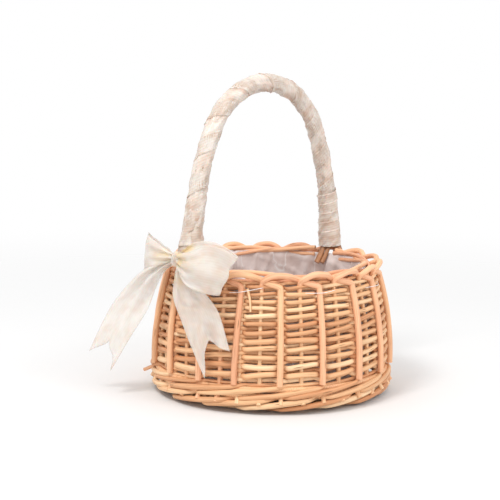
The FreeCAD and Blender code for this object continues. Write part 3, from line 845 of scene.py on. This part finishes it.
class BASKET_OT_handle(bpy.types.Operator):
    """Wind the satin ribbon round the handle's bundle of rods and over its feet"""
    bl_idname = "basket.handle"
    bl_label = "Handle"

    def execute(self, context):
        ribbon = context.scene.basket_ribbon
        low_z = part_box("foot_wrap_far")[0].z
        hoop = Hoop(low_z)
        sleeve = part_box("foot_wrap_far")[1].z - low_z
        self.wind(hoop, ribbon, "handle_satin", sleeve * 0.55, hoop.length - sleeve * 0.55, ribbon.wrap_pitch,
                  lambda s: WRAP_OUT - 0.9 * MM + 1.3 * MM * (1 - smooth_step(min(s, hoop.length - s) / 0.085)),
                  2.8 * MM, "handle_ribbon", 3)
        foot_out = (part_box("foot_wrap_far")[1].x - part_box("foot_wrap_far")[0].x) / 2

        def swell(s):
            share = min(s, hoop.length - s) / sleeve
            flare = foot_out - WRAP_OUT - 2.0 * MM if s < hoop.length / 2 else 1.6 * MM
            return WRAP_OUT + 0.7 * MM + flare * (1 - smooth_step(share * 0.95)) ** 0.8

        over, under, foot_pitch = 4 * MM, 10 * MM, 9 * MM
        self.wind(hoop, ribbon, "foot_satin_near", -under, sleeve + over, foot_pitch, swell,
                  1.7 * MM, "foot_wrap_near", 11)
        self.wind(hoop, ribbon, "foot_satin_far", hoop.length - sleeve - over, hoop.length + under, foot_pitch,
                  swell, 2.0 * MM, "foot_wrap_far", 17)
        refinish(("handle_core_rod", "handle_inner_rods", "handle_outer_rods"), "handle_rods")
        return {"FINISHED"}

    def wind(self, hoop, ribbon, name, first, last, pitch, radius_at, crease, replaced, seed):
        """One ribbon wound as a right-handed screw; its upper edge lies under the next turn."""
        width = ribbon.width
        girth = 2 * pi * radius_at((first + last) / 2)
        slope = atan2(pitch, girth)
        axial = width * cos(slope)
        turns = (last - first) / pitch
        per_turn, columns = 44, 29
        count = int(turns * per_turn)
        rows, run = [], []
        for i in range(count + 1):
            u = turns * i / count
            row = []
            for j in range(columns):
                v = j / (columns - 1)
                s = first + pitch * u + (v - 0.5) * axial
                turn = 2 * pi * u - (v - 0.5) * width * sin(slope) / (girth / 2 / pi)
                place, out, side = hoop.at(s)
                lap = 1 - smooth_step(v / (1 - pitch / axial + 0.12))
                swirl = 2 * pi * s / (7 * pitch)
                soft = value_noise(2.6 * cos(turn - swirl) + seed, 2.6 * sin(turn - swirl), s * 15)
                soft = 0.55 - 1.6 * abs(soft)
                fine = value_noise(3.6 * cos(turn - swirl) + seed, 3.6 * sin(turn - swirl), s * 120)
                edge = (1 - smooth_step(v / 0.06)) * 0.9 * MM * (0.6 + value_noise(u * 7, seed, 3.0))
                radius = radius_at(s) + lap * 0.7 * MM + edge + crease * (0.6 * soft + 0.5 * fine)
                row.append(place + out * cos(turn) * radius + side * sin(turn) * radius)
            rows.append(row)
            run.append(u * hypot(girth, pitch))
        vs = [width * j / (columns - 1) for j in range(columns)]
        mesh = sheet_mesh(name, rows, run, vs)
        piece = place_piece(name, mesh, "satin_wrap", [replaced])
        thicken(piece, ribbon.cloth)


# ---- liner ---------------------------------------------------------------------------------------
class BASKET_OT_liner(bpy.types.Operator):
    """Hang the crinkled film bag inside the weave"""
    bl_idname = "basket.liner"
    bl_label = "Film liner"

    def execute(self, context):
        size = context.scene.basket_liner
        floor_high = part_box("liner_floor")[1]
        top = BORDER_TOP - 6.5 * MM
        columns, rows = 360, 40
        behind_d = 3.5 * MM
        grid = []
        for i in range(rows + 1):
            share = i / rows
            z = floor_high.z + (top - floor_high.z) * share
            wall = stake_line(max(z, ROW_Z[0]), behind_d) - behind_d / 2
            wall -= float(np.interp(z, ROW_Z, ROW_D)) + 0.5 * MM
            if not i:
                tuck = wall - floor_high.x
            corner = tuck * (1 - smooth_step((z - floor_high.z) / (14 * MM)))
            row = []
            for j in range(columns):
                angle = 360 * j / columns
                row.append(self.film_point(angle, z, share, wall - corner, size.slack))
            row.append(row[0])
            grid.append(row)
        mesh = sheet_mesh("film_side", grid, [0.09 * i / rows for i in range(rows + 1)],
                          [0.56 * j / columns for j in range(columns + 1)])
        side = place_piece("film_side", mesh, "film", ["liner_side"])
        weld(side.data)
        thicken(side, size.film)

        radius = floor_high.x
        rings, spokes = 26, 120
        grid = []
        for i in range(rings + 1):
            reach = radius * 1.003 * i / rings
            grid.append([self.floor_point(reach, 360 * (j % spokes) / spokes, floor_high.z)
                         for j in range(spokes + 1)])
        mesh = sheet_mesh("film_floor", grid, [radius * i / rings for i in range(rings + 1)],
                          [0.5 * j / spokes for j in range(spokes + 1)])
        floor = place_piece("film_floor", mesh, "film", ["liner_floor"])
        weld(floor.data)
        thicken(floor, size.film)
        return {"FINISHED"}

    def film_point(self, angle, z, share, wall, slack):
        """A place on the hanging film, drawn in by slack, sharp folds and a fine crinkle."""
        turn = radians(angle)
        big = value_noise(3.0 * cos(turn), 3.0 * sin(turn), z * 24)
        crease = abs(value_noise(4.2 * cos(turn + z * 5), 4.2 * sin(turn + z * 5), 9.0 + z * 6))
        cross = abs(value_noise(2.6 * cos(turn - z * 22), 2.6 * sin(turn - z * 22), 31.0 + z * 26))
        fine = value_noise(16 * cos(turn), 16 * sin(turn), z * 160)
        free = smooth_step(share * 6) * (1 - 0.55 * smooth_step((share - 0.8) * 5))
        inward = slack * (0.55 + 0.8 * big) * free
        sharp = (3.6 * MM * (0.16 - min(crease, 0.16)) / 0.16 + 2.4 * MM * (0.10 - min(cross, 0.10)) / 0.10) * free
        inward = max(0.0, inward + sharp) + 0.4 * MM * (fine + 0.5) * free
        lift = 1.6 * MM * value_noise(9 * cos(turn), 9 * sin(turn), 4.4) * smooth_step((share - 0.9) * 10)
        return polar(wall - inward, angle, z + lift)

    def floor_point(self, reach, angle, z):
        """A place on the film's floor, which lies in low ridges and is flat at its edge."""
        turn = radians(angle)
        x, y = reach * cos(turn), reach * sin(turn)
        rise = 2.2 * MM * (0.35 - min(0.35, abs(value_noise(x * 38, y * 38, 2.0)))) / 0.35
        rise += 0.8 * MM * value_noise(x * 130, y * 130, 7.0)
        rim = 1 - smooth_step((reach / 0.079 - 0.9) * 10)
        return Vector((x, y, z + max(0.0, rise) * rim))


# ---- threads and loose ends ----------------------------------------------------------------------
class BASKET_OT_trim(bpy.types.Operator):
    """Add the threads through the weave, the loose twig and the cut rod end"""
    bl_idname = "basket.trim"
    bl_label = "Threads and loose ends"

    def execute(self, context):
        size = context.scene.basket_liner
        look = context.scene.basket_willow
        chance = Random(look.seed + 77)
        threads = []
        for k in range(1, UPRIGHTS, 2):
            middle = k * STEP + TURN + chance.uniform(-2, 2)
            z = STAKE_TOP - (6 + chance.uniform(-1.5, 1.5)) * MM
            slope = chance.uniform(0.5, 5.0) * MM
            wall, face = weave_face(z), weave_face(z) + look.upright_d - 0.4 * MM
            path = curve_through([(-10.5, wall - 2.5 * MM, -slope * 1.05), (-8.0, wall + 0.5 * MM, -slope * 0.9),
                                  (-1.6, face, -slope * 0.2), (1.6, face, slope * 0.2),
                                  (8.0, wall + 0.5 * MM, slope * 0.9), (10.5, wall - 2.5 * MM, slope * 1.05)], 6)
            threads.append([rod_point(polar(r, middle + a, z + dz), size.thread / 2) for a, r, dz in path])
        lay_rods("stitch_threads", threads, "thread", ["liner_stitches"], sides=8, crook=0.2 * MM)

        low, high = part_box("loose_twig")
        lower = Vector(((low.x + high.x) / 2, (low.y + high.y) / 2, low.z))
        angle = degrees(atan2(lower.y, lower.x))
        rods = []
        count = 10
        for i in range(count + 1):
            t = i / count
            z = high.z - 2 * MM - (high.z - low.z - 5 * MM) * t
            rods.append(rod_point(polar(weave_face(z) + 1.2 * MM, angle - 7.0 + 2.6 * t + 0.4 * sin(4 * t), z),
                                  (1.15 - 0.3 * t) * MM))
        lay_rods("twig_loose", [rods], "weaver", ["loose_twig"], sides=10, crook=0.6 * MM,
                 spacing=0.01)
        low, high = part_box("cut_rod_end")
        drop = 11.5 * MM
        inner = Vector((high.x, high.y, high.z - 3.0 * MM - drop))
        outer = Vector((low.x + 5.5 * MM, low.y + 3.0 * MM, low.z - drop))
        stub = [rod_point(inner.lerp(outer, t / 8), 1.65 * MM * (1.05 - 0.12 * t / 8)) for t in range(9)]
        lay_rods("rod_end_cut", [stub], "upright", ["cut_rod_end"], sides=12, crook=0.4 * MM)
        return {"FINISHED"}


# ---- bow -----------------------------------------------------------------------------------------
def around_wall(*triples):
    """Places from (degrees, radius mm, height mm)."""
    return [tuple(polar(r * MM, a, z * MM)) for a, r, z in triples]


def across(*pairs):
    """Ribbon stations from pairs of (x, y, z) in millimetres."""
    return [(tuple(Vector(a) * MM), tuple(Vector(b) * MM)) for a, b in pairs]


class BASKET_OT_bow(bpy.types.Operator):
    """Tie the satin bow at the near foot of the handle"""
    bl_idname = "basket.bow"
    bl_label = "Bow"

    def execute(self, context):
        ribbon = context.scene.basket_ribbon
        self.knot()
        right_top = around_wall((-89.6, 116.5, 131.5), (-87.5, 121.5, 134), (-80, 125, 137.5), (-73, 124, 144),
                                (-66.5, 119.5, 141.5), (-61.3, 113.5, 134), (-63.8, 109, 137.5), (-70, 108.5, 143),
                                (-76, 109.5, 145.5), (-82, 111.5, 143.5), (-87.5, 113.5, 137), (-91, 114, 131))
        right_low = around_wall((-89.4, 116.5, 126.0), (-86.7, 121.5, 118.5), (-82, 125, 109.5), (-76, 123.5, 104.5),
                                (-71.5, 119, 102), (-69.3, 113, 101.3), (-71.5, 108, 102.5), (-75, 106.5, 105.5),
                                (-80, 107.5, 109), (-84.5, 110, 114), (-88, 113, 121), (-90.7, 114, 127.5))
        left_top = around_wall((-91, 116.5, 132), (-95.5, 121, 137), (-100, 124, 142), (-106, 123, 145),
                               (-111.5, 118.5, 146), (-115.5, 112.5, 141.5), (-112, 108, 137.5), (-106, 108.5, 135.5),
                               (-100, 110, 134.5), (-96, 113, 132.5), (-93, 114, 130.5))
        left_low = around_wall((-91.2, 116.5, 126.5), (-96.5, 121, 120.5), (-104, 123, 113.5), (-113, 120.5, 109),
                               (-121.5, 118, 106.5), (-127, 112.5, 106.5), (-122.5, 106.5, 107), (-113, 106.5, 110),
                               (-104, 108.5, 116), (-97, 112, 122), (-93.3, 114, 127))
        ribbon_piece("bow_loop_right_satin", list(zip(right_top, right_low)), ribbon.width, 3.0, 3.4 * MM, 2.1,
                     ["bow_loop_right"], per_span=8, columns=33)
        ribbon_piece("bow_loop_left_satin", list(zip(left_top, left_low)), ribbon.width, 3.0, 3.0 * MM, 5.3,
                     ["bow_loop_left"], per_span=8, columns=33)
        left_tail = across(((-4, -117, 129), (-2, -117, 124)), ((-18, -121, 123), (-12, -119, 117)),
                           ((-42, -122, 112), (-25.5, -117.5, 101)), ((-70, -124.5, 86.5), (-36, -118.5, 80)),
                           ((-84.5, -128.5, 63.5), (-51, -124.5, 55)), ((-97.4, -133.5, 36), (-69.5, -132, 22.5)))
        right_tail = across(((0.5, -116.5, 125), (4, -116.5, 125)), ((-2.5, -117.5, 112), (15, -117.5, 114)),
                            ((-4, -117.5, 95), (29, -112.5, 103)), ((4, -115.5, 76), (39.5, -107, 88)),
                            ((15.5, -114, 54), (45.5, -104.5, 70)), ((28.8, -111.5, 29.5), (49.5, -102.5, 55)))
        ribbon_piece("bow_tail_left_satin", left_tail, ribbon.width, 2.0, 0.8 * MM, 0.6, ["bow_tail_left"],
                     per_span=12, columns=25, notch=ribbon.notch)
        ribbon_piece("bow_tail_right_satin", right_tail, ribbon.width, 2.0, 0.8 * MM, 3.9, ["bow_tail_right"],
                     per_span=12, columns=25, notch=ribbon.notch)
        return {"FINISHED"}

    def knot(self):
        """A crumpled band drawn tight round the middle of the bow."""
        centre = polar(117.4 * MM, -90.0, 128.4 * MM)
        out = polar(1, -90.2, 0)
        side = polar(1, -0.2, 0)
        rows, columns = 40, 48
        mesh = bpy.data.meshes.new("bow_knot_satin")
        points, faces = [], []
        for i in range(rows + 1):
            v = -pi / 2 + pi * i / rows
            for j in range(columns):
                turn = 2 * pi * j / columns
                crease = 0.5 * MM * sin(5 * turn + 2.2 * sin(v * 2)) * cos(v) + 0.4 * MM * value_noise(
                    3 * cos(turn), 3 * sin(turn), v * 1.4)
                reach = abs(cos(v)) ** 0.55
                points.append(centre + out * (4.6 * MM + crease) * reach * cos(turn)
                              + side * (3.7 * MM + crease) * reach * sin(turn) + Vector((0, 0, 6.4 * MM * sin(v))))
        for i in range(rows):
            for j in range(columns):
                k = (j + 1) % columns
                faces.append((i * columns + j, i * columns + k, (i + 1) * columns + k, (i + 1) * columns + j))
        mesh.from_pydata([tuple(p) for p in points], [], faces)
        layer = mesh.uv_layers.new(name="ribbon")
        for loop in mesh.loops:
            row, column = divmod(loop.vertex_index, columns)
            layer.data[loop.index].uv = (0.0004 * row, 0.0008 * column)
        mesh.polygons.foreach_set("use_smooth", [True] * len(mesh.polygons))
        place_piece("bow_knot_satin", mesh, "satin_bow", ["bow_knot"])
        weld(mesh, turn_out=True)


# ---- base ----------------------------------------------------------------------------------------
class BASKET_OT_base(bpy.types.Operator):
    """Give the base sticks, woven floor and packing rods their willow finish"""
    bl_idname = "basket.base"
    bl_label = "Base"

    def execute(self, context):
        refinish(("base_sticks_lower", "base_sticks_upper", "base_weave", "foot_packing_rods"), "plain")
        return {"FINISHED"}


# ---- stage ---------------------------------------------------------------------------------------
class BASKET_OT_stage(bpy.types.Operator):
    """Set the pale floor, the soft lights and the camera"""
    bl_idname = "basket.stage"
    bl_label = "Stage"

    camera_place = (817.6 * MM, -864.4 * MM, 295.7 * MM)
    camera_target = (-13.97 * MM, -14.95 * MM, 124.79 * MM)
    camera_roll = 0.59
    camera_lens = 95.84

    def execute(self, context):
        scene = context.scene
        camera = bpy.data.cameras.new("view")
        camera.lens = self.camera_lens
        camera.sensor_width = 36.0
        camera.clip_start, camera.clip_end = 0.05, 20.0
        holder = bpy.data.objects.new("view", camera)
        scene.collection.objects.link(holder)
        place = Vector(self.camera_place)
        aim = (Vector(self.camera_target) - place).to_track_quat("-Z", "Y").to_matrix().to_4x4()
        holder.matrix_world = Matrix.Translation(place) @ aim @ Matrix.Rotation(radians(self.camera_roll), 4, "Z")
        scene.camera = holder

        world = bpy.data.worlds.new("studio")
        world.use_nodes = True
        backdrop = world.node_tree.nodes["Background"]
        backdrop.inputs[0].default_value = (1.0, 1.0, 1.0, 1.0)
        backdrop.inputs[1].default_value = 1.0
        scene.world = world
        scene.view_settings.view_transform = "Standard"

        for name, place, target, size, power in (
                ("key", (0.15, -0.85, 1.25), (0, 0, 0.1), 0.35, 9.0),
                ("side", (1.2, 0.1, 0.9), (0, 0, 0.1), 0.5, 4.0)):
            lamp = bpy.data.lights.new(name, "AREA")
            lamp.size = size
            lamp.energy = power
            stand = bpy.data.objects.new(name, lamp)
            scene.collection.objects.link(stand)
            stand.location = place
            stand.rotation_mode = "QUATERNION"
            stand.rotation_quaternion = (Vector(target) - Vector(place)).to_track_quat("-Z", "Y")

        mesh = bpy.data.meshes.new("floor")
        reach, level = 1.4, -0.2 * MM
        mesh.from_pydata([(-reach, -reach, level), (reach, -reach, level), (reach, reach, level),
                          (-reach, reach, level)], [], [(0, 1, 2, 3)])
        floor = bpy.data.objects.new("floor", mesh)
        scene.collection.objects.link(floor)
        pale, tree, shader = start_material("floor_pale")
        shader.inputs["Base Color"].default_value = (0.76, 0.76, 0.76, 1.0)
        shader.inputs["Roughness"].default_value = 1.0
        shader.inputs["Specular IOR Level"].default_value = 0.0
        away = add_node(tree, "ShaderNodeVectorMath", {0: object_place(tree)}, operation="LENGTH")
        fade = spread_out(tree, away.outputs["Value"], {1: 0.14, 2: 1.2, 3: 1.0, 4: 0.0},
                          interpolation_type="SMOOTHSTEP")
        tree.links.new(fade, shader.inputs["Alpha"])
        mesh.materials.append(pale)
        return {"FINISHED"}


OPERATORS = (BASKET_OT_stage, BASKET_OT_base, BASKET_OT_foot, BASKET_OT_stakes, BASKET_OT_weave,
             BASKET_OT_border, BASKET_OT_handle, BASKET_OT_liner, BASKET_OT_trim, BASKET_OT_bow)


class BASKET_PT_panel(bpy.types.Panel):
    """Lists the basket's settings and pieces"""
    bl_label = "Flower girl basket"
    bl_idname = "BASKET_PT_panel"
    bl_space_type = "VIEW_3D"
    bl_region_type = "UI"
    bl_category = "Basket"

    def draw(self, context):
        scene = context.scene
        for group in (scene.basket_willow, scene.basket_ribbon, scene.basket_liner):
            box = self.layout.box()
            for name in group.__annotations__:
                box.prop(group, name)
        for operator in OPERATORS:
            self.layout.operator(operator.bl_idname)


GROUPS = (("basket_willow", WillowSettings), ("basket_ribbon", RibbonSettings), ("basket_liner", LinerSettings))


def register():
    for _, group in GROUPS:
        bpy.utils.register_class(group)
    for name, group in GROUPS:
        setattr(bpy.types.Scene, name, PointerProperty(type=group))
    for operator in OPERATORS:
        bpy.utils.register_class(operator)
    bpy.utils.register_class(BASKET_PT_panel)


def unregister():
    bpy.utils.unregister_class(BASKET_PT_panel)
    for operator in reversed(OPERATORS):
        bpy.utils.unregister_class(operator)
    for name, group in reversed(GROUPS):
        delattr(bpy.types.Scene, name)
        bpy.utils.unregister_class(group)


def main():
    register()
    bpy.ops.basket.stage()
    bpy.ops.basket.base()
    bpy.ops.basket.foot()
    bpy.ops.basket.stakes()
    bpy.ops.basket.weave()
    bpy.ops.basket.border()
    bpy.ops.basket.handle()
    bpy.ops.basket.liner()
    bpy.ops.basket.trim()
    bpy.ops.basket.bow()


if __name__ == "__main__":
    main()
